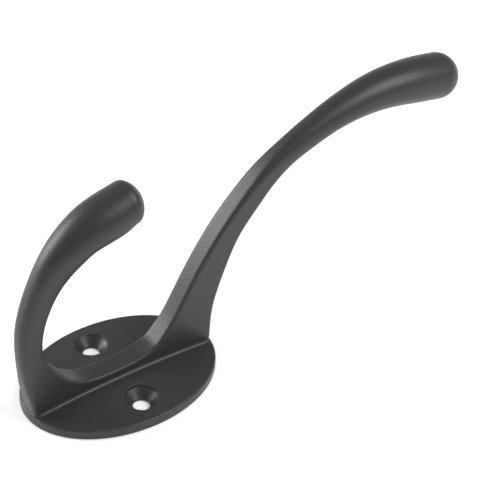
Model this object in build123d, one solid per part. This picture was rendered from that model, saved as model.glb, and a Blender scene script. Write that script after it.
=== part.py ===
from build123d import *
import os
from math import cos, degrees, hypot, pi, radians, sin
from typing import NamedTuple

# Hat and coat hook, cast in one piece: an oval wall plate, a straight rib across its long
# axis, a short coat arm that curls up from the plate's lower end and a long hat arm that
# sweeps up and out from its upper end. All sizes are in millimetres.
# The wall is the plane Y = 0 and the hook stands out from it along -Y. Z is up, and the
# origin is the middle of the plate's back face. In the side view a point is given as
# (height, reach): its Z, and its distance out from the wall.

# Wall plate: a slightly blunt oval of eight arcs, with a rounded front edge and, inside a
# narrow flat border, a front that is crowned both ways. OVAL_TURN is half the angle that the
# arcs at its two sides and two ends turn through, and OVAL_CORNER is the radius between them.
PLATE_HEIGHT = 52.6
PLATE_WIDTH = 37.5
OVAL_CORNER = 19.8
OVAL_TURN = 28.4
RIM_THICKNESS = 2.5
RIM_ROUND = 0.5
CROWN = 1.3
CROWN_INSET = 0.7
CROWN_WIDTH = PLATE_WIDTH - 2 * CROWN_INSET
CROWN_HEIGHT = PLATE_HEIGHT - 2 * CROWN_INSET
PLATE_MIDDLE = RIM_THICKNESS + CROWN

# Screw holes, one on each side of the rib, countersunk for flat-headed screws
SCREW_SPACING = 22.6
SCREW_LINE_HEIGHT = -0.7
BORE_DIAMETER = 4.2
HEAD_DIAMETER = 8.3
HEAD_WALL = 0.6
HEAD_LIP = 0.2

# The bar that forms the rib and both arms, and the fillet along its foot
BAR_WIDTH = 5.7
FOOT_ROUND = 0.9
FOOT_TUCK = 0.02
FOOT_RIM_GAP = 0.6

# The coat arm's end is a blunt dome: a shoulder round its edge and a flatter cap over it.
# The hat arm's end is half a ball.
COAT_TIP_SHOULDER = 2.8
COAT_TIP_CAP = 6.95

# Reach past the plate of the tools that cut or bound it
ALLOWANCE = 12.0


class Station(NamedTuple):
    """One cross-section of the bar, from its inner edge to its outer edge in the side view.

    The inner side faces the space between the two arms. swell is half the angle that each
    flat side turns through: 0 keeps it flat, and 22.5 makes the section a circle.
    """

    inner: tuple
    outer: tuple
    width: float = BAR_WIDTH
    inner_corner: float = 1.0
    outer_corner: float = 1.0
    swell: float = 0.0


def arm_station(height, reach, lean, depth, inner_side, width=None, corner=None, swell=22.5):
    """A station square to an arm: its centre, the arm's lean from upright and its depth.

    Without a width and a corner it is a circle.
    """
    half = depth / 2
    over = -inner_side * sin(radians(lean)) * half
    out = inner_side * cos(radians(lean)) * half
    return Station(
        inner=(height + over, reach + out),
        outer=(height - over, reach - out),
        width=width or depth,
        inner_corner=corner or half,
        outer_corner=corner or half,
        swell=swell,
    )


def coat(height, reach, lean, depth, **form):
    return arm_station(height, reach, lean, depth, -1, **form)


def hat(height, reach, lean, depth, **form):
    return arm_station(height, reach, lean, depth, 1, **form)


# The bar from the coat arm's tip, down and round through the rib, to the hat arm's tip
COAT_TIP = coat(1.4, 55.9, 7, 11.45)
HAT_TIP = hat(94.5, 56.0, -13, 11.9)
BAR = [
    COAT_TIP,
    coat(-3.0, 54.5, 17, 12.1),
    coat(-7.5, 53.3, 19, 11.8),
    coat(-11.2, 51.7, 29, 11.0),
    coat(-14.8, 49.0, 42, 10.3, width=9.9, corner=4.6, swell=20),
    coat(-18.3, 45.4, 50, 9.4, width=8.2, corner=3.6, swell=15),
    coat(-21.4, 40.7, 61, 8.1, width=6.6, corner=2.6, swell=8),
    Station((-20.7, 34.3), (-27.35, 36.55), 5.8, inner_corner=1.6, outer_corner=2.4),
    Station((-22.25, 30.4), (-28.6, 31.85), inner_corner=1.2, outer_corner=2.5),
    Station((-23.2, 24.5), (-29.2, 24.9), inner_corner=1.0, outer_corner=2.5),
    Station((-22.4, 19.5), (-28.7, 17.4), outer_corner=2.3),
    Station((-20.2, 15.1), (-27.6, 10.5), inner_corner=0.8, outer_corner=1.6),
    Station((-16.8, 10.8), (-26.2, 3.5), inner_corner=0.7, outer_corner=0.9),
    Station((-12.0, 7.4), (-23.0, -6.0), inner_corner=0.6),
    Station((-4.0, 6.2), (-6.0, -9.0), inner_corner=0.6),
    Station((4.0, 6.6), (9.0, -9.0), inner_corner=0.6),
    Station((8.9, 8.0), (21.0, -7.0), inner_corner=0.7),
    Station((11.4, 10.3), (25.5, 0.5), inner_corner=0.8),
    Station((13.9, 13.5), (26.1, 8.5)),
    Station((18.7, 22.1), (27.6, 17.3)),
    Station((23.6, 30.4), (30.6, 25.9)),
    hat(31.3, 35.3, 54, 6.9, width=5.7, corner=1.0, swell=0),
    hat(36.5, 41.5, 49, 6.6, width=5.7, corner=1.2, swell=0),
    hat(42.1, 47.0, 38, 6.4, width=5.7, corner=1.7, swell=0),
    hat(48.3, 51.1, 29, 6.7, width=6.0, corner=2.5, swell=8),
    hat(54.8, 54.1, 23.5, 7.3, width=6.7, corner=3.1, swell=15),
    hat(61.2, 56.5, 17, 7.8, width=7.6, corner=3.7, swell=22),
    hat(67.8, 58.1, 9.5, 8.7),
    hat(74.6, 58.8, 2, 9.9),
    hat(81.0, 58.5, -5.5, 10.9),
    hat(87.5, 57.5, -11, 11.7),
    HAT_TIP,
]


def side_point(height, reach, across=0.0):
    """A point of the side view, set across from the middle plane, in the model's frame."""
    return Vector(across, -reach, height)


def station_plane(station):
    """The plane of a section: X across the hook and Y from its centre to its inner edge."""
    inner, outer = side_point(*station.inner), side_point(*station.outer)
    across = Vector(1, 0, 0)
    toward_inner = (inner - outer).normalized()
    return Plane(origin=(inner + outer) * 0.5, x_dir=across, z_dir=across.cross(toward_inner))


def station_depth(station):
    return hypot(station.inner[0] - station.outer[0], station.inner[1] - station.outer[1])


def rounded_outline(half_width, half_depth, top, bottom):
    """A rectangle's outline with its upper corners rounded by top and its lower by bottom."""
    edges = []
    corners = [(1, 1, top), (-1, 1, top), (-1, -1, bottom), (1, -1, bottom)]
    ends = []
    for right, up, radius in corners:
        centre = Vector(right * (half_width - radius), up * (half_depth - radius))
        beside = centre + Vector(right * radius, 0)
        above = centre + Vector(0, up * radius)
        middle = centre + Vector(right, up).normalized() * radius
        first, last = (beside, above) if right * up > 0 else (above, beside)
        ends.append((first, middle, last))
    for index, (first, middle, last) in enumerate(ends):
        following = ends[(index + 1) % len(ends)][0]
        edges.append(ThreePointArc(first, middle, last))
        edges.append(Line(last, following))
    return edges


def swollen_outline(half_width, half_depth, corner, swell):
    """An outline of eight arcs that meet without a break.

    Each of its four sides bulges: it is an arc that turns through twice the angle swell.
    """
    lift, run = 1 - cos(radians(swell)), sin(radians(swell))
    short_x, short_y = half_width - corner, half_depth - corner
    spread = run * run - lift * lift
    side_extra = (run * short_y - lift * short_x) / spread
    face_extra = (run * short_x - lift * short_y) / spread
    side_radius, face_radius = corner + side_extra, corner + face_extra
    edges = []
    for quarter in range(4):
        right = 1 if quarter in (0, 3) else -1
        up = 1 if quarter in (0, 1) else -1
        hub = Vector(right * run * face_extra, up * run * side_extra)
        low = hub + Vector(right * cos(radians(swell)), up * run) * corner
        high = hub + Vector(right * run, up * cos(radians(swell))) * corner
        middle = hub + Vector(right, up).normalized() * corner
        first, last = (low, high) if right * up > 0 else (high, low)
        edges.append(ThreePointArc(first, middle, last))
        if right * up > 0:
            bulge = Vector(0, up * half_depth)
            edges.append(ThreePointArc(last, bulge, Vector(-last.X, last.Y)))
        else:
            bulge = Vector(right * half_width, 0)
            edges.append(ThreePointArc(last, bulge, Vector(last.X, -last.Y)))
    return edges


def section_face(station):
    half_width, half_depth = station.width / 2, station_depth(station) / 2
    if station.swell:
        edges = swollen_outline(half_width, half_depth, station.inner_corner, station.swell)
    else:
        edges = rounded_outline(half_width, half_depth, station.inner_corner, station.outer_corner)
    return station_plane(station) * make_face(edges)


def between(before, first, second, after):
    """The station halfway from first to second, on the smooth curve through all four."""

    def on_cubic(*points):
        return tuple((9 * (b + c) - a - d) / 16 for a, b, c, d in zip(*points))

    return Station(
        inner=on_cubic(before.inner, first.inner, second.inner, after.inner),
        outer=on_cubic(before.outer, first.outer, second.outer, after.outer),
        width=(first.width + second.width) / 2,
        inner_corner=(first.inner_corner + second.inner_corner) / 2,
        outer_corner=(first.outer_corner + second.outer_corner) / 2,
        swell=(first.swell + second.swell) / 2,
    )


def with_halfway_stations(stations):
    """The stations with one more between each two, so that straight steps follow the bends."""
    padded = [stations[0], *stations, stations[-1]]
    result = []
    for neighbours in zip(padded, padded[1:], padded[2:], padded[3:]):
        result += [neighbours[1], between(*neighbours)]
    return [*result, stations[-1]]


def tip_profile(radius, shoulder, cap):
    """Half of a blunt dome's section: a shoulder arc, then a cap arc that meets it smoothly.

    The two arcs meet on the line through their centres.
    """
    shoulder_centre = Vector(radius - shoulder, 0)
    cap_centre = Vector(0, -(((cap - shoulder) ** 2 - shoulder_centre.X**2) ** 0.5))
    to_meeting = (shoulder_centre - cap_centre).normalized()
    meeting = cap_centre + to_meeting * cap
    shoulder_middle = shoulder_centre + (to_meeting + Vector(1, 0)).normalized() * shoulder
    cap_middle = cap_centre + (to_meeting + Vector(0, 1)).normalized() * cap
    top = cap_centre + Vector(0, cap)
    return make_face(
        [
            ThreePointArc((radius, 0), shoulder_middle, meeting),
            ThreePointArc(meeting, cap_middle, top),
            Polyline(top, (0, 0), (radius, 0)),
        ]
    )


def coat_tip():
    """The coat arm's blunt end: its half section turned about the arm's axis."""
    plane = station_plane(COAT_TIP)
    radius = station_depth(COAT_TIP) / 2
    across = Plane(origin=plane.origin, x_dir=plane.x_dir, z_dir=plane.x_dir.cross(plane.z_dir))
    profile = tip_profile(radius, COAT_TIP_SHOULDER, COAT_TIP_CAP)
    return revolve(across * profile, Axis(plane.origin, plane.z_dir))


def hat_tip():
    """The hat arm's end: a ball as wide as the arm, sunk halfway into it."""
    plane = station_plane(HAT_TIP)
    return Location(plane.origin) * Sphere(station_depth(HAT_TIP) / 2)


def bar():
    """The rib and both arms, with their rounded ends."""
    sections = [section_face(station) for station in with_halfway_stations(BAR)]
    return loft(sections, ruled=True) + coat_tip() + hat_tip()


def oval_face(inset):
    """The plate's outline on the wall, drawn in by inset."""
    half_width, half_height = PLATE_WIDTH / 2 - inset, PLATE_HEIGHT / 2 - inset
    edges = swollen_outline(half_width, half_height, OVAL_CORNER - inset, OVAL_TURN)
    return Plane.XZ * make_face(edges)


def oval_prism(inset, reach):
    return extrude(oval_face(inset), reach, dir=(0, -1, 0))


def crown_radius(half_size):
    """The radius of a shallow arc that rises by CROWN over half_size."""
    return (half_size**2 + CROWN**2) / (2 * CROWN)


def crown_drop(across):
    """How far the crowned front has fallen at a distance across from the middle line."""
    radius = crown_radius(CROWN_WIDTH / 2)
    return radius - (radius**2 - across**2) ** 0.5


def turned_about_crown(profile):
    """A profile across the plate, swung up and down about the far axis of the crown."""
    radius = crown_radius(CROWN_HEIGHT / 2)
    far_axis = Axis((0, radius - PLATE_MIDDLE, 0), (1, 0, 0))
    swing = degrees((PLATE_HEIGHT + ALLOWANCE) / radius)
    return revolve(profile.rotate(far_axis, -swing / 2), far_axis, swing)


def block_behind(reach):
    """A block, larger than the plate, that fills the space from reach back into the wall."""
    backward = (Align.CENTER, Align.MIN, Align.CENTER)
    block = Box(2 * PLATE_WIDTH, 2 * ALLOWANCE, 2 * PLATE_HEIGHT, align=backward)
    return Location((0, -reach, 0)) * block


def crown():
    """The low swelling on the plate's front, over the flat inside its border."""
    half_width = PLATE_WIDTH / 2
    edge = crown_drop(half_width) - PLATE_MIDDLE
    front = ThreePointArc((-half_width, edge), (0, -PLATE_MIDDLE), (half_width, edge))
    sides_and_back = Polyline((half_width, edge), (half_width, 0), (-half_width, 0), (-half_width, edge))
    slab = turned_about_crown(make_face([front, sides_and_back]))
    return slab - block_behind(RIM_THICKNESS)


def screw_hole(side):
    """The tool for one hole: a bore, a cone for the screw's head, and a short wall above it.

    The wall ends in a narrow bevel at the plate's front.
    """
    x = side * SCREW_SPACING / 2
    fall = CROWN * (2 * SCREW_LINE_HEIGHT / CROWN_HEIGHT) ** 2
    face = PLATE_MIDDLE - crown_drop(x) - fall
    head, bore = HEAD_DIAMETER / 2, BORE_DIAMETER / 2
    cone_top = face - HEAD_WALL
    cone_bottom = cone_top - (head - bore)
    outline = Polyline(
        (0, -1),
        (bore, -1),
        (bore, cone_bottom),
        (head, cone_top),
        (head, face - HEAD_LIP),
        (head + HEAD_LIP + 1, face + 1),
        (0, face + 1),
        close=True,
    )
    tool = revolve(make_face(outline), Axis.Y).rotate(Axis.Z, 180)
    return Location((x, 0, SCREW_LINE_HEIGHT)) * tool


def plate():
    """The oval wall plate, before its holes, with its rounded front edge and its crown."""
    blank = oval_prism(0, RIM_THICKNESS)
    front = blank.faces().sort_by(Axis.Y)[0]
    return fillet(front.edges(), RIM_ROUND) + crown()


def foot():
    """The fillets that spread from both sides of the rib onto the plate's crowned front."""
    side = BAR_WIDTH / 2 - FOOT_TUCK
    toe = side + FOOT_ROUND
    hub_reach = PLATE_MIDDLE + FOOT_ROUND - FOOT_TUCK
    diagonal = FOOT_ROUND * cos(pi / 4)
    top, bottom = -PLATE_MIDDLE - 1.3 * FOOT_ROUND, -PLATE_MIDDLE / 2
    toe_reach = FOOT_ROUND - hub_reach
    right = ThreePointArc((side, -hub_reach), (toe - diagonal, diagonal - hub_reach), (toe, toe_reach))
    left = ThreePointArc((-toe, toe_reach), (diagonal - toe, diagonal - hub_reach), (-side, -hub_reach))
    over = Polyline((-side, -hub_reach), (-side, top), (side, top), (side, -hub_reach))
    under = Polyline((toe, toe_reach), (toe, bottom), (-toe, bottom), (-toe, toe_reach))
    strip = turned_about_crown(make_face([over, right, under, left]))
    return strip & oval_prism(FOOT_RIM_GAP, ALLOWANCE)


def coat_hook():
    """The whole casting, cut flat where it meets the wall."""
    casting = (bar() - block_behind(0)) + foot() + plate()
    return casting - screw_hole(-1) - screw_hole(1)


if __name__ == "__main__":
    os.makedirs("parts", exist_ok=True)
    hook = coat_hook()
    hook.label = "coat_hook"
    export_step(hook, "parts/coat_hook.step")
    print(hook.is_valid, hook.volume, len(hook.solids()), len(hook.faces()), hook.bounding_box())
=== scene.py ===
import logging
import math
from dataclasses import dataclass, field
from enum import Enum

import bpy
import numpy as np
from mathutils import Matrix, Vector


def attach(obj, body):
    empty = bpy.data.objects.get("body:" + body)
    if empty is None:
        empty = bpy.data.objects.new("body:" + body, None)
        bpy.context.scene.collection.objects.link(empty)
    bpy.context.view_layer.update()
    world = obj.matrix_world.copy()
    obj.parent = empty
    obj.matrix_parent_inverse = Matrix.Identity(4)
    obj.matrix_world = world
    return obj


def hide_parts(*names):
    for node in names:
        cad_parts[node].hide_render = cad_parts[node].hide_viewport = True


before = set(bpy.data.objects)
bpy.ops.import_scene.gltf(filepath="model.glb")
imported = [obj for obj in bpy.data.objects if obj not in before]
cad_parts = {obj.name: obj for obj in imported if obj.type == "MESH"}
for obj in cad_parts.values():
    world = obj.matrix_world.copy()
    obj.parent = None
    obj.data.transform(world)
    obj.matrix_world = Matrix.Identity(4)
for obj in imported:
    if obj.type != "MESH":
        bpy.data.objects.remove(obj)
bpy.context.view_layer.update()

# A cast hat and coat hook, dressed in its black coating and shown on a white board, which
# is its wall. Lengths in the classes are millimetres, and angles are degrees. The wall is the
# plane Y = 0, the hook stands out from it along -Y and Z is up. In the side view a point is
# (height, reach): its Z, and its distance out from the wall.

NODE = "coat_hook"
BODY = "root"
MM = 0.001
TINY = 1e-9

# A circle is eight arcs of 45 degrees, and a swell is half of what a side's arc turns through
ROUND_SWELL = 22.5
log = logging.getLogger("coat_hook")


class Cut(Enum):
    """How one closed shell acts on another."""

    JOIN = "UNION"
    REMOVE = "DIFFERENCE"


class Side(Enum):
    """The two halves of the plate, by the sign of X."""

    LEFT = -1
    RIGHT = 1


class Edge(Enum):
    """The two edges of a section of the bar: the inner one faces the space between the arms."""

    INNER = 1
    OUTER = -1


def linear_colour(hex_value: str) -> tuple[float, float, float, float]:
    """Turn an sRGB hex colour into the linear values that a shader takes.

    Args:
        hex_value: The colour as six hex digits.

    Returns:
        Red, green, blue and an alpha of 1.
    """
    channels = np.array([int(hex_value[i:i + 2], 16) for i in (0, 2, 4)]) / 255
    linear = np.where(channels <= 0.04045, channels / 12.92, ((channels + 0.055) / 1.055) ** 2.4)
    return (*(float(value) for value in linear), 1.0)


def add_node(tree: bpy.types.NodeTree, kind: str, links: dict[str | int, object] | None = None,
             **settings: object) -> bpy.types.Node:
    """Add one shader node, set it up and link its inputs.

    Args:
        tree: The node tree that gets the node.
        kind: The node's type, without the word ShaderNode.
        links: Input names or numbers, each with a value or the socket that feeds it.
        **settings: Properties of the node itself.

    Returns:
        The new node.
    """
    node = tree.nodes.new("ShaderNode" + kind)
    for name, value in settings.items():
        setattr(node, name, value)
    for name, value in (links or {}).items():
        if isinstance(value, bpy.types.NodeSocket):
            tree.links.new(value, node.inputs[name])
        else:
            node.inputs[name].default_value = value
    return node


def smooth_through(knots: np.ndarray, values: np.ndarray, at: np.ndarray) -> np.ndarray:
    """Carry values smoothly through their knots with a natural cubic spline.

    The second derivatives at the knots solve the usual three-term equations, with none at
    the two ends, and each span is the cubic that has them.

    Args:
        knots: Increasing places, one for each row of values.
        values: The rows to pass through, with any number of columns.
        at: The places where the spline is wanted.

    Returns:
        One row for each of those places.
    """
    span = np.diff(knots)
    slope = np.diff(values, axis=0) / span[:, None]
    count = len(knots)
    matrix = np.eye(count)
    right = np.zeros_like(values)
    inner = np.arange(1, count - 1)
    matrix[inner, inner - 1] = span[:-1]
    matrix[inner, inner] = 2 * (span[:-1] + span[1:])
    matrix[inner, inner + 1] = span[1:]
    right[1:-1] = 6 * np.diff(slope, axis=0)
    bend = np.linalg.solve(matrix, right)
    cell = np.clip(np.searchsorted(knots, at, side="right") - 1, 0, count - 2)
    width = span[cell][:, None]
    late = ((at - knots[cell]) / span[cell])[:, None]
    early = 1 - late
    cubic = (early**3 - early) * bend[cell] + (late**3 - late) * bend[cell + 1]
    return early * values[cell] + late * values[cell + 1] + cubic * width**2 / 6


def steady_through(knots: np.ndarray, values: np.ndarray, at: np.ndarray) -> np.ndarray:
    """Carry values through their knots without passing above or below their neighbours.

    Each slope is the harmonic mean of the slopes on its two sides, and none where they
    differ in sign; each span is the cubic with the slopes at its ends.

    Args:
        knots: Increasing places, one for each row of values.
        values: The rows to pass through, with any number of columns.
        at: The places where the curve is wanted.

    Returns:
        One row for each of those places.
    """
    span = np.diff(knots)[:, None]
    slope = np.diff(values, axis=0) / span
    before, after = slope[:-1], slope[1:]
    product = before * after
    total = np.where(product > 0, before + after, 1.0)
    inner = np.where(product > 0, 2 * product / total, 0.0)
    slopes = np.vstack([slope[:1], inner, slope[-1:]])
    cell = np.clip(np.searchsorted(knots, at, side="right") - 1, 0, len(knots) - 2)
    width = span[cell]
    late = (at[:, None] - knots[cell][:, None]) / width
    early = 1 - late
    ends = early**2 * (1 + 2 * late) * values[cell] + late**2 * (1 + 2 * early) * values[cell + 1]
    turns = early**2 * late * slopes[cell] - late**2 * early * slopes[cell + 1]
    return ends + turns * width


def ring_faces(rows: int, columns: int) -> np.ndarray:
    """Join rings of points into quads.

    Args:
        rows: The number of rings, one after the other.
        columns: The number of points in each ring, whose last joins its first.

    Returns:
        Four vertex numbers for each quad.
    """
    row, column = np.meshgrid(np.arange(rows - 1), np.arange(columns), indexing="ij")
    following = (column + 1) % columns
    corners = (row * columns + column, row * columns + following,
               (row + 1) * columns + following, (row + 1) * columns + column)
    return np.stack(corners, axis=-1).reshape(-1, 4)


def closed_shell(name: str, rings: np.ndarray) -> bpy.types.Object:
    """Make a closed mesh from rings of points, with a fan to a pole at each end.

    The pole is the middle of its ring, so the end rings are small or flat.

    Args:
        name: The object's name.
        rings: Points in millimetres, as rings by points by X, Y and Z.

    Returns:
        The object, with all its faces turned outwards.
    """
    rows, columns, _ = rings.shape
    poles = np.stack([rings[0].mean(axis=0), rings[-1].mean(axis=0)])
    points = np.concatenate([rings.reshape(-1, 3), poles]) * MM
    around = np.arange(columns)
    after = (around + 1) % columns
    first = rows * columns
    start_fan = np.stack([np.full(columns, first), after, around], axis=1)
    last = (rows - 1) * columns
    end_fan = np.stack([np.full(columns, first + 1), last + around, last + after], axis=1)
    quads = ring_faces(rows, columns)
    triangles = np.concatenate([start_fan, end_fan])
    corners = np.concatenate([quads.ravel(), triangles.ravel()])
    lengths = np.concatenate([np.full(len(quads), 4), np.full(len(triangles), 3)])
    starts = np.concatenate([[0], np.cumsum(lengths)[:-1]])
    mesh = bpy.data.meshes.new(name)
    mesh.vertices.add(len(points))
    mesh.vertices.foreach_set("co", points.ravel())
    mesh.loops.add(len(corners))
    mesh.loops.foreach_set("vertex_index", corners)
    mesh.polygons.add(len(lengths))
    mesh.polygons.foreach_set("loop_start", starts)
    mesh.polygons.foreach_set("loop_total", lengths)
    mesh.update(calc_edges=True)
    if enclosed_volume(mesh) < 0:
        mesh.flip_normals()
    shell = bpy.data.objects.new(name, mesh)
    bpy.context.scene.collection.objects.link(shell)
    return shell


def enclosed_volume(mesh: bpy.types.Mesh) -> float:
    """Add up the signed pyramids from the origin to each of the mesh's triangles.

    Args:
        mesh: A closed mesh.

    Returns:
        The volume in cubic metres, below zero where the faces point inwards.
    """
    mesh.calc_loop_triangles()
    points = np.empty(len(mesh.vertices) * 3)
    mesh.vertices.foreach_get("co", points)
    corners = np.empty(len(mesh.loop_triangles) * 3, dtype=np.int32)
    mesh.loop_triangles.foreach_get("vertices", corners)
    triangles = points.reshape(-1, 3)[corners.reshape(-1, 3)]
    crossed = np.cross(triangles[:, 1], triangles[:, 2])
    return float(np.einsum("ij,ij->", triangles[:, 0], crossed) / 6)


def combine(target: bpy.types.Object, other: bpy.types.Object, cut: Cut) -> None:
    """Join a closed shell to another, or remove it from it, and delete the second.

    Args:
        target: The shell that stays.
        other: The shell that acts on it.
        cut: Whether it is joined or removed.
    """
    modifier = target.modifiers.new(cut.name.lower(), "BOOLEAN")
    modifier.operation = cut.value
    modifier.solver = "MANIFOLD"
    modifier.object = other
    apply_modifiers(target)
    bpy.data.objects.remove(other)


def apply_modifiers(shell: bpy.types.Object) -> None:
    """Make the shell's evaluated mesh its own and take its modifiers off.

    Args:
        shell: The object whose modifiers are applied.
    """
    graph = bpy.context.evaluated_depsgraph_get()
    evaluated = shell.evaluated_get(graph)
    mesh = bpy.data.meshes.new_from_object(evaluated, preserve_all_data_layers=True, depsgraph=graph)
    shell.modifiers.clear()
    shell.data = mesh


@dataclass(frozen=True)
class Station:
    """One section of the bar, from its inner edge to its outer edge in the side view.

    swell is half the angle that each side turns through: 0 keeps it flat, and ROUND_SWELL
    makes the section a circle.
    """

    inner: tuple[float, float]
    outer: tuple[float, float]
    width: float = 5.7
    inner_corner: float = 1.0
    outer_corner: float = 1.0
    swell: float = 0.0


def arm_station(height: float, reach: float, lean: float, depth: float, facing: int,
                width: float | None = None, corner: float | None = None,
                swell: float = ROUND_SWELL) -> Station:
    """Make a station square to an arm.

    Args:
        height: The height of the section's centre.
        reach: Its distance from the wall.
        lean: The arm's lean from upright, in degrees.
        depth: The section's depth in the side view.
        facing: 1 if the inner edge faces away from the wall, -1 if it faces the wall.
        width: The width across the hook, or None for a circle.
        corner: The corner radius, or None for a circle.
        swell: Half the turn of each side, in degrees.

    Returns:
        The station.
    """
    half = depth / 2
    over = -facing * math.sin(math.radians(lean)) * half
    out = facing * math.cos(math.radians(lean)) * half
    return Station(
        inner=(height + over, reach + out),
        outer=(height - over, reach - out),
        width=width or depth,
        inner_corner=corner or half,
        outer_corner=corner or half,
        swell=swell,
    )


def coat(height: float, reach: float, lean: float, depth: float, **form: float) -> Station:
    """A station of the coat arm, whose inner edge faces the wall."""
    return arm_station(height, reach, lean, depth, -1, **form)


def hat(height: float, reach: float, lean: float, depth: float, **form: float) -> Station:
    """A station of the hat arm, whose inner edge faces away from the wall."""
    return arm_station(height, reach, lean, depth, 1, **form)


def bar_stations() -> tuple[Station, ...]:
    """List the bar's sections, from the coat arm's tip, through the rib, to the hat arm's tip.

    Returns:
        The stations in order.
    """
    return (
        coat(1.4, 55.9, 7, 11.45),
        coat(-3.0, 54.5, 17, 12.1),
        coat(-7.5, 53.3, 19, 11.8),
        coat(-11.2, 51.7, 29, 11.0),
        coat(-14.8, 49.0, 42, 10.3, width=9.9, corner=4.6, swell=20),
        coat(-18.3, 45.4, 50, 9.4, width=8.2, corner=3.6, swell=15),
        coat(-21.4, 40.7, 61, 8.1, width=6.6, corner=2.6, swell=8),
        Station((-20.7, 34.3), (-27.35, 36.55), 5.8, inner_corner=1.6, outer_corner=2.4),
        Station((-22.25, 30.4), (-28.6, 31.85), inner_corner=1.2, outer_corner=2.5),
        Station((-23.2, 24.5), (-29.2, 24.9), inner_corner=1.0, outer_corner=2.5),
        Station((-22.4, 19.5), (-28.7, 17.4), outer_corner=2.3),
        Station((-20.2, 15.1), (-27.6, 10.5), inner_corner=0.8, outer_corner=1.6),
        Station((-16.8, 10.8), (-26.2, 3.5), inner_corner=0.7, outer_corner=0.9),
        Station((-12.0, 7.4), (-23.0, -6.0), inner_corner=0.6),
        Station((-4.0, 6.2), (-6.0, -9.0), inner_corner=0.6),
        Station((4.0, 6.6), (9.0, -9.0), inner_corner=0.6),
        Station((8.9, 8.0), (21.0, -7.0), inner_corner=0.7),
        Station((11.4, 10.3), (25.5, 0.5), inner_corner=0.8),
        Station((13.9, 13.5), (26.1, 8.5)),
        Station((18.7, 22.1), (27.6, 17.3)),
        Station((23.6, 30.4), (30.6, 25.9)),
        hat(31.3, 35.3, 54, 6.9, width=5.7, corner=1.0, swell=0),
        hat(36.5, 41.5, 49, 6.6, width=5.7, corner=1.2, swell=0),
        hat(42.1, 47.0, 38, 6.4, width=5.7, corner=1.7, swell=0),
        hat(48.3, 51.1, 29, 6.7, width=6.0, corner=2.5, swell=8),
        hat(54.8, 54.1, 23.5, 7.3, width=6.7, corner=3.1, swell=15),
        hat(61.2, 56.5, 17, 7.8, width=7.6, corner=3.7, swell=22),
        hat(67.8, 58.1, 9.5, 8.7),
        hat(74.6, 58.8, 2, 9.9),
        hat(81.0, 58.5, -5.5, 10.9),
        hat(87.5, 57.5, -11, 11.7),
        hat(94.5, 56.0, -13, 11.9),
    )


@dataclass(frozen=True)
class Tip:
    """The rounded end of an arm: a shoulder arc that runs into a flatter cap arc.

    Where both radii are the arm's own, the end is half a ball.
    """

    shoulder: float
    cap: float
    rings: int = 14

    def profile(self, radius: float) -> tuple[np.ndarray, np.ndarray]:
        """Follow the two arcs from the arm's side to the axis.

        The cap's centre is on the axis, as far back as makes the two arcs tangent, and the
        points are spread evenly over the angle that the surface turns through.

        Args:
            radius: The arm's radius at the tip.

        Returns:
            The distance from the axis and the advance along it, without the first point.
        """
        inset = radius - self.shoulder
        hub = -math.sqrt(max((self.cap - self.shoulder) ** 2 - inset**2, 0.0))
        meeting = math.atan2(-hub, inset)
        turn = np.linspace(0, math.pi / 2, self.rings + 1)[1:-1]
        on_shoulder = turn <= meeting
        out = np.where(on_shoulder, inset + self.shoulder * np.cos(turn), self.cap * np.cos(turn))
        along = np.where(on_shoulder, self.shoulder * np.sin(turn), hub + self.cap * np.sin(turn))
        return out, along


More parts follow.
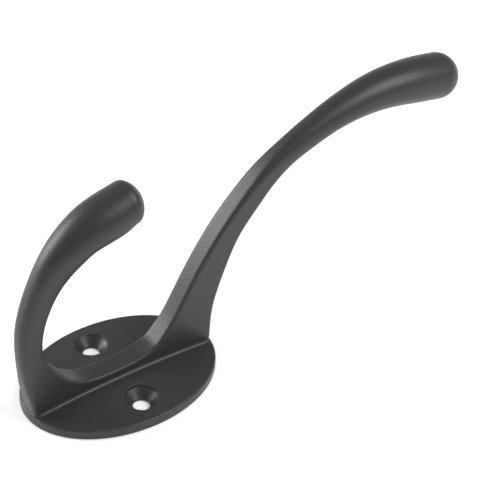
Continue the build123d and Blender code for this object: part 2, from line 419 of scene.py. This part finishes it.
@dataclass
class Bar:
    """The rib and the two arms: one bar whose section changes from station to station."""

    stations: tuple[Station, ...] = field(default_factory=bar_stations)
    coat_tip: Tip = Tip(shoulder=2.8, cap=6.95)
    hat_tip: Tip = Tip(shoulder=5.95, cap=5.95)
    row_pitch: float = 0.6
    corner_points: int = 8
    side_points: int = 8
    least_reach: float = 0.4

    def sections(self) -> dict[str, np.ndarray]:
        """Spread rows along the bar and carry each measure of the stations through them.

        The rows are evenly spaced along the line of the sections' centres. The edges follow
        smooth splines and the form follows steady ones. Where the outer edge would pass
        behind the plate, it stops inside the plate instead.

        Returns:
            The measures by name, one row for each section.
        """
        edges = np.array([(*s.inner, *s.outer) for s in self.stations])
        form = np.array([(s.width, s.inner_corner, s.outer_corner, s.swell) for s in self.stations])
        inside = np.array([self.clipped(row) for row in edges])
        centres = (inside[:, :2] + inside[:, 2:]) / 2
        knots = np.concatenate([[0], np.cumsum(np.linalg.norm(np.diff(centres, axis=0), axis=1))])
        at = np.linspace(0, knots[-1], int(knots[-1] / self.row_pitch) + 1)
        edge_rows = smooth_through(knots, edges, at)
        form_rows = steady_through(knots, form, at)
        edge_rows = self.clipped(edge_rows.T).T
        inner, outer = edge_rows[:, :2], edge_rows[:, 2:]
        depth = np.linalg.norm(inner - outer, axis=1)
        limit = np.minimum(form_rows[:, 0], depth) / 2
        return {
            "centre": (inner + outer) / 2,
            "toward_inner": (inner - outer) / depth[:, None],
            "half_width": form_rows[:, 0] / 2,
            "half_depth": depth / 2,
            "inner_corner": np.minimum(form_rows[:, 1], limit),
            "outer_corner": np.minimum(form_rows[:, 2], limit),
            "swell": np.radians(np.clip(form_rows[:, 3], 0, ROUND_SWELL)),
        }

    def clipped(self, edges: np.ndarray) -> np.ndarray:
        """Slide an outer edge along its section so that it stays in front of the wall.

        Args:
            edges: Inner height, inner reach, outer height and outer reach, one or many.

        Returns:
            The same four, with the outer edge moved where it was too near the wall.
        """
        inner_z, inner_p, outer_z, outer_p = edges
        share = np.clip((inner_p - self.least_reach) / (inner_p - outer_p + TINY), 0, 1)
        share = np.where(outer_p < self.least_reach, share, 1.0)
        return np.array([
            inner_z, inner_p, inner_z + share * (outer_z - inner_z), inner_p + share * (outer_p - inner_p),
        ])

    def outlines(self, rows: dict[str, np.ndarray]) -> np.ndarray:
        """Draw each section as eight tangent arcs: a corner, a side, a corner and so on.

        Each arc is a cubic curve with handles two thirds of the chord, over one plus the
        cosine of the angle between chord and tangent.

        Args:
            rows: The measures of the sections.

        Returns:
            Points across the hook and toward the inner edge, as sections by points by 2.
        """
        ratio = np.tan(rows["swell"] / 2)
        cos, sin = np.cos(rows["swell"]), np.sin(rows["swell"])
        starts, directions = [], []
        for right, edge in ((1, Edge.INNER), (-1, Edge.INNER), (-1, Edge.OUTER), (1, Edge.OUTER)):
            up = edge.value
            corner = rows["inner_corner"] if edge is Edge.INNER else rows["outer_corner"]
            short_x, short_y = rows["half_width"] - corner, rows["half_depth"] - corner
            hub_x = (short_x - ratio * short_y) / (1 - ratio**2)
            hub_y = (short_y - ratio * short_x) / (1 - ratio**2)
            beside = np.stack([right * (hub_x + corner * cos), up * (hub_y + corner * sin)], axis=1)
            above = np.stack([right * (hub_x + corner * sin), up * (hub_y + corner * cos)], axis=1)
            rise = np.stack([-right * sin, up * cos], axis=1)
            run = np.stack([-right * cos, up * sin], axis=1)
            if right * up > 0:
                starts += [beside, above]
                directions += [rise, run]
            else:
                starts += [above, beside]
                directions += [-run, -rise]
        begin, way = np.stack(starts, axis=1), np.stack(directions, axis=1)
        end, end_way = np.roll(begin, -1, axis=1), np.roll(way, -1, axis=1)
        chord = end - begin
        length = np.linalg.norm(chord, axis=2, keepdims=True)
        cosine = np.sum(chord * way, axis=2, keepdims=True) / np.maximum(length, TINY)
        handle = 2 * length / (3 * (1 + cosine))
        controls = (begin, begin + way * handle, end - end_way * handle, end)
        pieces = []
        for index in range(begin.shape[1]):
            count = self.corner_points if index % 2 == 0 else self.side_points
            late = np.arange(count) / count
            early = 1 - late
            weights = (early**3, 3 * early**2 * late, 3 * early * late**2, late**3)
            pieces.append(sum(w[None, :, None] * c[:, index, None, :] for w, c in zip(weights, controls)))
        return np.concatenate(pieces, axis=1)

    def rings(self) -> np.ndarray:
        """Set every outline in its place, with the rings of the two tips before and after.

        Returns:
            Points in millimetres, as rings by points by X, Y and Z.
        """
        rows = self.sections()
        across_and_in = self.outlines(rows)
        side = rows["centre"][:, None, :] + across_and_in[..., 1:] * rows["toward_inner"][:, None, :]
        body = np.stack([across_and_in[..., 0], -side[..., 1], side[..., 0]], axis=-1)
        return np.concatenate([
            self.tip_rings(body[0], rows["toward_inner"][0], self.coat_tip, -1)[::-1],
            body,
            self.tip_rings(body[-1], rows["toward_inner"][-1], self.hat_tip, 1),
        ])

    def tip_rings(self, ring: np.ndarray, toward_inner: np.ndarray, tip: Tip, travel: int) -> np.ndarray:
        """Shrink a round end ring along the tip's profile.

        Args:
            ring: The last ring of the arm.
            toward_inner: The direction of that section's inner edge, as (height, reach).
            tip: The form of the end.
            travel: 1 at the end of the bar and -1 at its start.

        Returns:
            The tip's rings, from the arm outwards.
        """
        centre = ring.mean(axis=0)
        radius = np.linalg.norm(ring - centre, axis=1).mean()
        out, along = tip.profile(radius)
        axis = travel * np.array([0.0, toward_inner[0], toward_inner[1]])
        shrunk = centre + (ring - centre)[None] * (out / radius)[:, None, None]
        return shrunk + along[:, None, None] * axis

    def shell(self) -> bpy.types.Object:
        """The bar as a closed mesh."""
        return closed_shell("bar", self.rings())


@dataclass
class WallPlate:
    """The oval plate with its crowned front, its rounded front edge and its screw holes.

    overrun is how far a hole's tool passes the plate's back, and twice that is how far it
    passes its front. bore_run, bore_break and head_break are the small steps that soften the
    edges inside a hole, and lip_lift keeps the lip's first ring just clear of the front.
    """

    height: float = 52.6
    width: float = 37.5
    bluntness: float = 2.01
    middle: float = 3.8
    rim: float = 2.5
    border: float = 0.7
    rim_round: float = 0.5
    screw_spacing: float = 22.6
    screw_height: float = -0.7
    bore: float = 4.2
    head: float = 8.3
    head_wall: float = 0.6
    lip_round: float = 0.2
    around: int = 288
    front_rings: int = 22
    edge_rings: int = 10
    back_shares: tuple[float, ...] = (0.8, 0.5, 0.2)
    hole_points: int = 96
    lip_rings: int = 7
    overrun: float = 1.0
    back_clearance: float = 0.2
    bore_run: float = 0.05
    bore_break: float = 0.03
    head_break: float = 0.06
    lip_lift: float = 0.004
    rim_step: float = 0.01

    def front(self, across: np.ndarray, up: np.ndarray) -> np.ndarray:
        """The reach of the front: a parabola's fall both ways from the middle to the flat border.

        Args:
            across: Distances from the plate's long axis.
            up: Heights above its middle.

        Returns:
            The front's distance from the wall at each spot.
        """
        half_width, half_height = self.width / 2 - self.border, self.height / 2 - self.border
        fall = (across / half_width) ** 2 + (up / half_height) ** 2
        return np.maximum(self.middle - (self.middle - self.rim) * fall, self.rim)

    def outline(self, inset: float) -> np.ndarray:
        """Walk round the plate at a distance inside its edge.

        The edge is the curve where the width's and the height's shares, each raised to the
        bluntness, add up to one. Each point moves inwards square to it.

        Args:
            inset: The distance inside the edge.

        Returns:
            Points across and up, one row each.
        """
        turn = np.linspace(0, 2 * math.pi, self.around, endpoint=False)
        cos, sin = np.cos(turn), np.sin(turn)
        power = 2 / self.bluntness
        half_width, half_height = self.width / 2, self.height / 2
        across = half_width * np.sign(cos) * np.abs(cos) ** power
        up = half_height * np.sign(sin) * np.abs(sin) ** power
        lean_x = np.sign(cos) * np.abs(cos) ** (2 - power) / half_width
        lean_z = np.sign(sin) * np.abs(sin) ** (2 - power) / half_height
        size = np.hypot(lean_x, lean_z)
        return np.stack([across - inset * lean_x / size, up - inset * lean_z / size], axis=1)

    def shell(self) -> bpy.types.Object:
        """Build the plate with no holes: rings from the front's middle, over the edge, to the back's.

        Returns:
            The plate as a closed mesh.
        """
        rings = []
        foot, edge = self.outline(self.border), self.outline(0)
        for share in (np.arange(self.front_rings) + 1) / self.front_rings:
            spot = foot * share
            rings.append((spot, self.front(spot[:, 0], spot[:, 1])))
        top = np.full(self.around, self.rim)
        for turn in np.linspace(0, math.pi / 2, self.edge_rings):
            spot = self.outline(self.rim_round * (1 - math.sin(turn)))
            rings.append((spot, top - self.rim_round * (1 - math.cos(turn))))
        rings.append((edge, (top - self.rim_round) / 2))
        rings.append((edge, np.zeros(self.around)))
        for share in self.back_shares:
            rings.append((edge * share, np.zeros(self.around)))
        points = [np.stack([spot[:, 0], -reach, spot[:, 1]], axis=1) for spot, reach in rings]
        return closed_shell("wall_plate", np.stack(points))

    def hole_tool(self, side: Side) -> bpy.types.Object:
        """The shape of one screw hole: a bore, a cone, a short wall and a lip that rolls over.

        The lip is a quarter round that meets the crowned front level, all the way round, so
        its height follows the front at each angle.

        Args:
            side: The half of the plate that the hole is in.

        Returns:
            The closed tool.
        """
        turn = np.linspace(0, 2 * math.pi, self.hole_points, endpoint=False)
        cos, sin = np.cos(turn), np.sin(turn)
        x0, z0 = side.value * self.screw_spacing / 2, self.screw_height
        face = float(self.front(np.array(x0), np.array(z0)))
        head, bore = self.head / 2, self.bore / 2
        cone_top = face - self.head_wall
        cone_bottom = cone_top - (head - bore)
        levels = [
            (bore / 2, -self.overrun),
            (bore, -self.overrun),
            (bore, -self.back_clearance),
            (bore, cone_bottom - self.bore_run),
            (bore + self.bore_break, cone_bottom + self.bore_break),
            (head - self.head_break, cone_top - self.head_break),
            (head, cone_top + self.head_break),
        ]
        rings = [(radius, np.full_like(turn, reach)) for radius, reach in levels]
        rim = head + self.lip_round
        level = self.front(x0 + rim * cos, z0 + rim * sin) + self.lip_lift
        for rise in np.linspace(0, math.pi / 2, self.lip_rings):
            radius = head + self.lip_round * (1 - math.cos(rise))
            rings.append((radius, level - self.lip_round * (1 - math.sin(rise))))
        rings.append((rim + self.rim_step, level + 2 * self.overrun))
        rings.append((rim / 2, level + 2 * self.overrun))
        points = [np.stack([x0 + radius * cos, -reach, z0 + radius * sin], axis=1) for radius, reach in rings]
        return closed_shell(f"hole_{side.name.lower()}", np.stack(points))


@dataclass
class FootFillet:
    """The concave fillet that runs along one side of the rib where it meets the plate.

    tuck is how far its two edges lie inside the rib and the plate, and the sunk sizes are how
    far its hidden back reaches into them. Over the fade its radius shrinks at both ends.
    """

    plate: WallPlate
    rib_width: float = 5.7
    radius: float = 0.9
    tuck: float = 0.02
    half_length: float = 25.6
    fade: float = 1.6
    least_share: float = 0.01
    sunk_in: float = 0.8
    sunk_under: float = 0.5
    rows: int = 220
    arc_points: int = 10

    def shell(self, side: Side) -> bpy.types.Object:
        """Carry the fillet's section along the rib, on the plate's crown.

        Its radius shrinks to almost nothing near both ends, along a quarter circle.

        Args:
            side: The side of the rib.

        Returns:
            The fillet as a closed mesh.
        """
        up = np.linspace(-self.half_length, self.half_length, self.rows)
        left = (self.half_length - np.abs(up)) / self.fade
        scale = np.sqrt(np.clip(1 - (1 - np.clip(left, 0, 1)) ** 2, self.least_share, 1))
        turn = np.linspace(0, math.pi / 2, self.arc_points)
        wall = self.rib_width / 2 - self.tuck
        arc_x = wall + self.radius * (1 - np.cos(turn))[None, :] * scale[:, None]
        arc_rise = self.radius * (1 - np.sin(turn))[None, :] * scale[:, None]
        sunk_x = np.array([wall + self.radius, wall - self.sunk_in, wall - self.sunk_in])
        sunk_rise = np.array([-self.sunk_under, -self.sunk_under, self.radius])
        across = np.concatenate([arc_x, np.minimum(sunk_x[None, :], arc_x[:, -1:])], axis=1)
        rise = np.concatenate([arc_rise - self.tuck, np.minimum(sunk_rise[None, :], arc_rise[:, :1])], axis=1)
        across = side.value * across
        along = np.repeat(up[:, None], across.shape[1], axis=1)
        reach = self.plate.front(across, along) + rise
        return closed_shell(f"foot_{side.name.lower()}", np.stack([across, -reach, along], axis=-1))


@dataclass(frozen=True)
class PowderCoat:
    """Black polyester powder, sprayed on a zinc casting and baked.

    It gives a near-black, even skin with a soft sheen: broad dim highlights over a fine
    orange-peel texture. Its grains are about a tenth of a millimetre apart, too fine to show,
    so they are drawn coarser, as specks that show on the brightest faces.
    """

    colour: str = "2e2e2f"
    dusty_colour: str = "363637"
    roughness: float = 0.4
    rough_swing: float = 0.05
    index: float = 1.5
    peel_pitch: float = 0.55
    peel_height: float = 0.012
    grain_pitch: float = 0.5
    grain_height: float = 0.05
    cloud_pitch: float = 9.0

    def build(self) -> bpy.types.Material:
        """Build the coating's material from noise in real millimetres.

        Returns:
            The material.
        """
        material = bpy.data.materials.new("black_powder_coat_on_cast_zinc")
        material.use_nodes = True
        tree = material.node_tree
        tree.nodes.clear()
        place = add_node(tree, "TexCoord").outputs["Object"]
        peel = self.noise(tree, place, self.peel_pitch, 2.0)
        grain = self.noise(tree, place, self.grain_pitch, 1.0)
        cloud = self.noise(tree, place, self.cloud_pitch, 3.0)
        coarse = add_node(tree, "Bump", {"Height": peel, "Strength": 1.0, "Distance": self.peel_height * MM})
        fine = add_node(tree, "Bump", {"Height": grain, "Strength": 1.0,
                                       "Distance": self.grain_height * MM, "Normal": coarse.outputs[0]})
        colour = add_node(tree, "Mix", {0: cloud, 6: linear_colour(self.colour),
                                        7: linear_colour(self.dusty_colour)}, data_type="RGBA")
        rough = add_node(tree, "MapRange", {"Value": cloud, "To Min": self.roughness - self.rough_swing,
                                            "To Max": self.roughness + self.rough_swing})
        shader = add_node(tree, "BsdfPrincipled", {
            "Base Color": colour.outputs[2], "Roughness": rough.outputs[0], "IOR": self.index,
            "Normal": fine.outputs[0],
        })
        add_node(tree, "OutputMaterial", {"Surface": shader.outputs[0]})
        return material

    @staticmethod
    def noise(tree: bpy.types.NodeTree, place: bpy.types.NodeSocket, pitch: float,
              detail: float) -> bpy.types.NodeSocket:
        """Noise whose lumps are about pitch millimetres apart."""
        node = add_node(tree, "TexNoise", {"Vector": place, "Scale": 1 / (pitch * MM), "Detail": detail})
        return node.outputs[0]


@dataclass
class HookCasting:
    """The whole hook as one casting: the plate, the foot fillets and the bar in one skin."""

    plate: WallPlate = field(default_factory=WallPlate)
    bar: Bar = field(default_factory=Bar)
    coating: PowderCoat = field(default_factory=PowderCoat)
    crease: float = 38.0

    def build(self) -> bpy.types.Object:
        """Build the casting, dress it and set it in the frame.

        Returns:
            The finished casting.
        """
        casting = self.plate.shell()
        casting.name = "hook_casting"
        for side in Side:
            combine(casting, self.plate.hole_tool(side), Cut.REMOVE)
        for side in Side:
            combine(casting, FootFillet(self.plate).shell(side), Cut.JOIN)
        combine(casting, self.bar.shell(), Cut.JOIN)
        self.smooth(casting)
        casting.data.materials.clear()
        casting.data.materials.append(self.coating.build())
        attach(casting, BODY)
        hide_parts(NODE)
        return casting

    def smooth(self, casting: bpy.types.Object) -> None:
        """Shade the skin smoothly, with creases only where its faces turn sharply.

        Args:
            casting: The closed casting.
        """
        mesh = casting.data
        mesh.polygons.foreach_set("use_smooth", np.ones(len(mesh.polygons), dtype=bool))
        mesh.set_sharp_from_angle(angle=math.radians(self.crease))
        weighting = casting.modifiers.new("face_weights", "WEIGHTED_NORMAL")
        weighting.keep_sharp = True
        apply_modifiers(casting)


@dataclass(frozen=True)
class PaleBoard:
    """Matt white board, painted flat: an even pale ground that keeps a soft shadow.

    It shows only from its front, so that the hook's back is open to view.
    """

    colour: str = "f7f7f7"
    glow: float = 0.36

    def build(self) -> bpy.types.Material:
        """Build the board's material, see-through from behind.

        Returns:
            The material.
        """
        material = bpy.data.materials.new("matt_white_board")
        material.use_nodes = True
        tree = material.node_tree
        tree.nodes.clear()
        matt = add_node(tree, "BsdfDiffuse", {"Color": linear_colour(self.colour)})
        lift = add_node(tree, "Emission", {"Color": (1, 1, 1, 1), "Strength": self.glow})
        front = add_node(tree, "AddShader", {0: matt.outputs[0], 1: lift.outputs[0]})
        clear = add_node(tree, "BsdfTransparent")
        behind = add_node(tree, "NewGeometry").outputs["Backfacing"]
        both = add_node(tree, "MixShader", {0: behind, 1: front.outputs[0], 2: clear.outputs[0]})
        add_node(tree, "OutputMaterial", {"Surface": both.outputs[0]})
        return material


@dataclass(frozen=True)
class SoftBox:
    """A square lamp: where it stands, what it faces, its side, all in mm, and its power in watts."""

    name: str
    place: tuple[float, float, float]
    side: float
    power: float
    target: tuple[float, float, float] = (0.0, -28.0, 30.0)

    def build(self) -> bpy.types.Object:
        """Make the lamp and turn it to its target.

        Returns:
            The lamp's object.
        """
        lamp = bpy.data.lights.new(self.name, "AREA")
        lamp.size = self.side * MM
        lamp.energy = self.power
        holder = bpy.data.objects.new(self.name, lamp)
        bpy.context.scene.collection.objects.link(holder)
        holder.location = Vector(self.place) * MM
        toward = Vector(self.target) - Vector(self.place)
        holder.rotation_mode = "QUATERNION"
        holder.rotation_quaternion = toward.to_track_quat("-Z", "Y")
        return holder


@dataclass(frozen=True)
class Viewpoint:
    """The photograph's viewpoint, with directions in the hook's own frame."""

    place: tuple[float, float, float] = (391.5, -443.6, -262.4)
    looks_along: tuple[float, float, float] = (-0.6083, 0.6445, 0.4632)
    up: tuple[float, float, float] = (-0.5429, -0.7636, 0.3496)
    lens: float = 195.0
    sensor: float = 36.0

    def build(self) -> bpy.types.Object:
        """Make the camera and put it in use.

        Returns:
            The camera's object.
        """
        data = bpy.data.cameras.new("photo_view")
        data.lens, data.sensor_width = self.lens, self.sensor
        data.clip_start, data.clip_end = 0.01, 20.0
        camera = bpy.data.objects.new("photo_view", data)
        bpy.context.scene.collection.objects.link(camera)
        back = -Vector(self.looks_along).normalized()
        right = Vector(self.up).cross(back).normalized()
        turn = Matrix((right, back.cross(right), back)).transposed()
        camera.rotation_mode = "QUATERNION"
        camera.rotation_quaternion = turn.to_quaternion()
        camera.location = Vector(self.place) * MM
        bpy.context.scene.camera = camera
        return camera


@dataclass
class Studio:
    """The pale board that the hook lies on, the soft light round it and the camera."""

    board_size: float = 700.0
    board_gap: float = 0.3
    fill: float = 0.4
    dim_gloss: float = 0.4
    horizon: float = 0.12
    backdrop_rise: float = 0.08
    board: PaleBoard = field(default_factory=PaleBoard)
    view: Viewpoint = field(default_factory=Viewpoint)
    lamps: tuple[SoftBox, ...] = (
        SoftBox("key_softbox", (-550.0, -270.0, -430.0), 460.0, 5.0),
        SoftBox("overhead_softbox", (390.0, -580.0, 340.0), 420.0, 3.2),
    )

    def build(self) -> None:
        """Build the board, the lamps, the world and the camera."""
        self.lay_board()
        for lamp in self.lamps:
            lamp.build()
        self.fill_world()
        self.view.build()
        bpy.context.scene.view_settings.view_transform = "Standard"

    def lay_board(self) -> None:
        """Lay the board just behind the hook's back.

        The eye sees it, and so does the coating's gloss, but it sends no diffuse light back.
        """
        half, gap = self.board_size * MM / 2, self.board_gap * MM
        corners = np.array([(-half, gap, -half), (half, gap, -half), (half, gap, half), (-half, gap, half)])
        mesh = bpy.data.meshes.new("pale_board")
        mesh.from_pydata(corners.tolist(), [], [(0, 1, 2, 3)])
        mesh.materials.append(self.board.build())
        board = bpy.data.objects.new("pale_board", mesh)
        bpy.context.scene.collection.objects.link(board)
        board.visible_diffuse = False
        board.visible_transmission = False
        board.visible_shadow = False

    def fill_world(self) -> None:
        """Fill the room: white for the eye and a plain fill for diffuse light.

        Gloss sees white on the board's side of the hook and a dimmer room in front of it. The
        step between them is smooth, over the horizon's width on both sides of the backdrop's rise.
        """
        world = bpy.data.worlds.new("white_room")
        world.use_nodes = True
        tree = world.node_tree
        tree.nodes.clear()
        path = add_node(tree, "LightPath")
        toward = add_node(tree, "SeparateXYZ", {0: add_node(tree, "TexCoord").outputs["Generated"]})
        gloss = add_node(tree, "MapRange", {
            "Value": toward.outputs["Y"], "From Min": -self.backdrop_rise - self.horizon,
            "From Max": self.horizon - self.backdrop_rise,
            "To Min": self.dim_gloss, "To Max": 1.0}, interpolation_type="SMOOTHSTEP")
        mirrored = add_node(tree, "Math", {0: path.outputs["Is Glossy Ray"],
                                           1: path.outputs["Is Transmission Ray"]}, operation="MAXIMUM")
        unseen = add_node(tree, "Mix", {0: mirrored.outputs[0], 2: self.fill, 3: gloss.outputs[0]})
        strength = add_node(tree, "Mix", {0: path.outputs["Is Camera Ray"], 2: unseen.outputs[0], 3: 1.0})
        light = add_node(tree, "Background", {"Color": (1, 1, 1, 1), "Strength": strength.outputs[0]})
        add_node(tree, "OutputWorld", {"Surface": light.outputs[0]})
        bpy.context.scene.world = world


def main() -> None:
    """Build the casting and the studio, in order, and report each piece."""
    logging.basicConfig(level=logging.INFO, format="%(name)s: %(message)s")
    casting = HookCasting().build()
    log.info("%s has %d faces", casting.name, len(casting.data.polygons))
    Studio().build()
    log.info("studio built")


if __name__ == "__main__":
    main()
